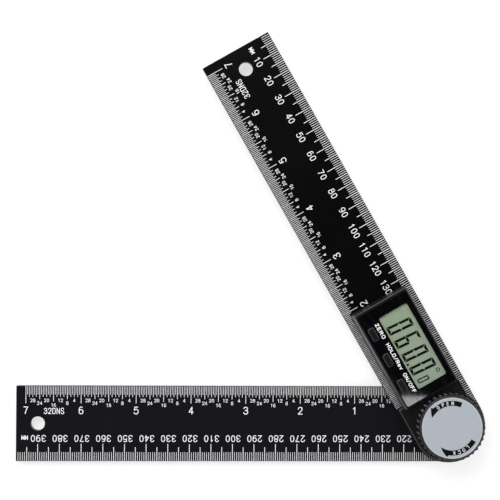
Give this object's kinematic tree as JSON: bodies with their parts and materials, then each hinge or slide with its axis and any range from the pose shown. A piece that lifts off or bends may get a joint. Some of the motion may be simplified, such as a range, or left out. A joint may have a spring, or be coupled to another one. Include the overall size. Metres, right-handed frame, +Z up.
{
  "type": "angle finder with arms",
  "caption": "Digital angle ruler: two flat ruler arms on a lockable pivot, with a display box on the upper arm and a toothed lock knob over the pivot.",
  "frame": {"origin": "on the pivot axis, at the underside of the lower arm, where the tool lies", "axes": "+Z up through the display; the lower arm points along -X; at rest the upper arm stands 60 degrees from it, towards +Y"},
  "size_m": [0.2174, 0.1992, 0.017],
  "materials": {
    "arm_plastic": "satin black moulded, printed scales",
    "housing_plastic": "fine moulded grain",
    "window_gloss": "clear plate printed black from behind",
    "lcd": "grey-green reflective display",
    "frame_plastic": "white moulded",
    "zebra_rubber": "striped conductive rubber",
    "seal_rubber": "smooth",
    "board": "green solder mask",
    "chip_plastic": "moulded epoxy",
    "flex_film": "amber film",
    "steel": "turned",
    "spring_steel": "plated sheet",
    "cell_steel": "nickel plated can",
    "brass": "turned",
    "nylon": "natural nylon",
    "knob_plastic": "fine moulded grain",
    "label_metal": "satin silver, printed arrows",
    "button_plastic": "fine moulded grain"
  },
  "bodies": {
    "base": {"lower_arm": "arm_plastic", "pivot_stud": "steel", "stud_cap": "arm_plastic", "stop_screw": "steel", "encoder_rotor": "board", "friction_ring": "nylon"},
    "display_arm": {"upper_arm": "arm_plastic", "pivot_bush": "brass", "encoder_stator": "board", "housing": "housing_plastic", "housing_screws": "steel", "display_window": "window_gloss", "lcd_glass": "lcd", "lcd_frame": "frame_plastic", "zebra_strips": "zebra_rubber", "main_board": "board", "controller_chip": "chip_plastic", "tact_switches": "chip_plastic", "sensor_flex": "flex_film", "battery": "cell_steel", "contact_negative": "spring_steel", "contact_positive": "spring_steel", "wave_spring": "spring_steel"},
    "lock_carrier": {"thrust_washer": "steel"},
    "lock_knob": {"knob": "knob_plastic", "knob_insert": "brass", "knob_label": "label_metal"},
    "door": {"battery_door": "housing_plastic", "door_seal": "seal_rubber"},
    "zero_key": {"zero_button": "button_plastic"},
    "hold_key": {"hold_button": "button_plastic"},
    "power_key": {"power_button": "button_plastic"}
  },
  "joints": [
    {"name": "arm_swing", "type": "hinge", "parent": "base", "child": "display_arm", "pos_m": [0, 0, 0.0048], "axis": [0, 0, 1], "continuous": true},
    {"name": "knob_lift", "type": "slide", "parent": "base", "child": "lock_carrier", "axis": [0, 0, 1], "range_m": [0, 0.0006], "deforming": ["wave_spring"]},
    {"name": "knob_turn", "type": "hinge", "parent": "lock_carrier", "child": "lock_knob", "pos_m": [0, 0, 0.0138], "axis": [0, 0, 1], "range_deg": [0, 270]},
    {"name": "door_turn", "type": "hinge", "parent": "display_arm", "child": "door", "pos_m": [-0.02065, 0.03577, 0.0043], "axis": [0, 0, 1], "range_deg": [0, 45]},
    {"name": "zero_press", "type": "slide", "parent": "display_arm", "child": "zero_key", "axis": [0, 0, -1], "range_m": [0, 0.0003], "stiffness_N_per_m": 300},
    {"name": "hold_press", "type": "slide", "parent": "display_arm", "child": "hold_key", "axis": [0, 0, -1], "range_m": [0, 0.0003], "stiffness_N_per_m": 300},
    {"name": "power_press", "type": "slide", "parent": "display_arm", "child": "power_key", "axis": [0, 0, -1], "range_m": [0, 0.0003], "stiffness_N_per_m": 300}
  ],
  "couplings": [
    {"joint": "knob_turn", "follows": "knob_lift", "rad_per_m": 7853}
  ]
}
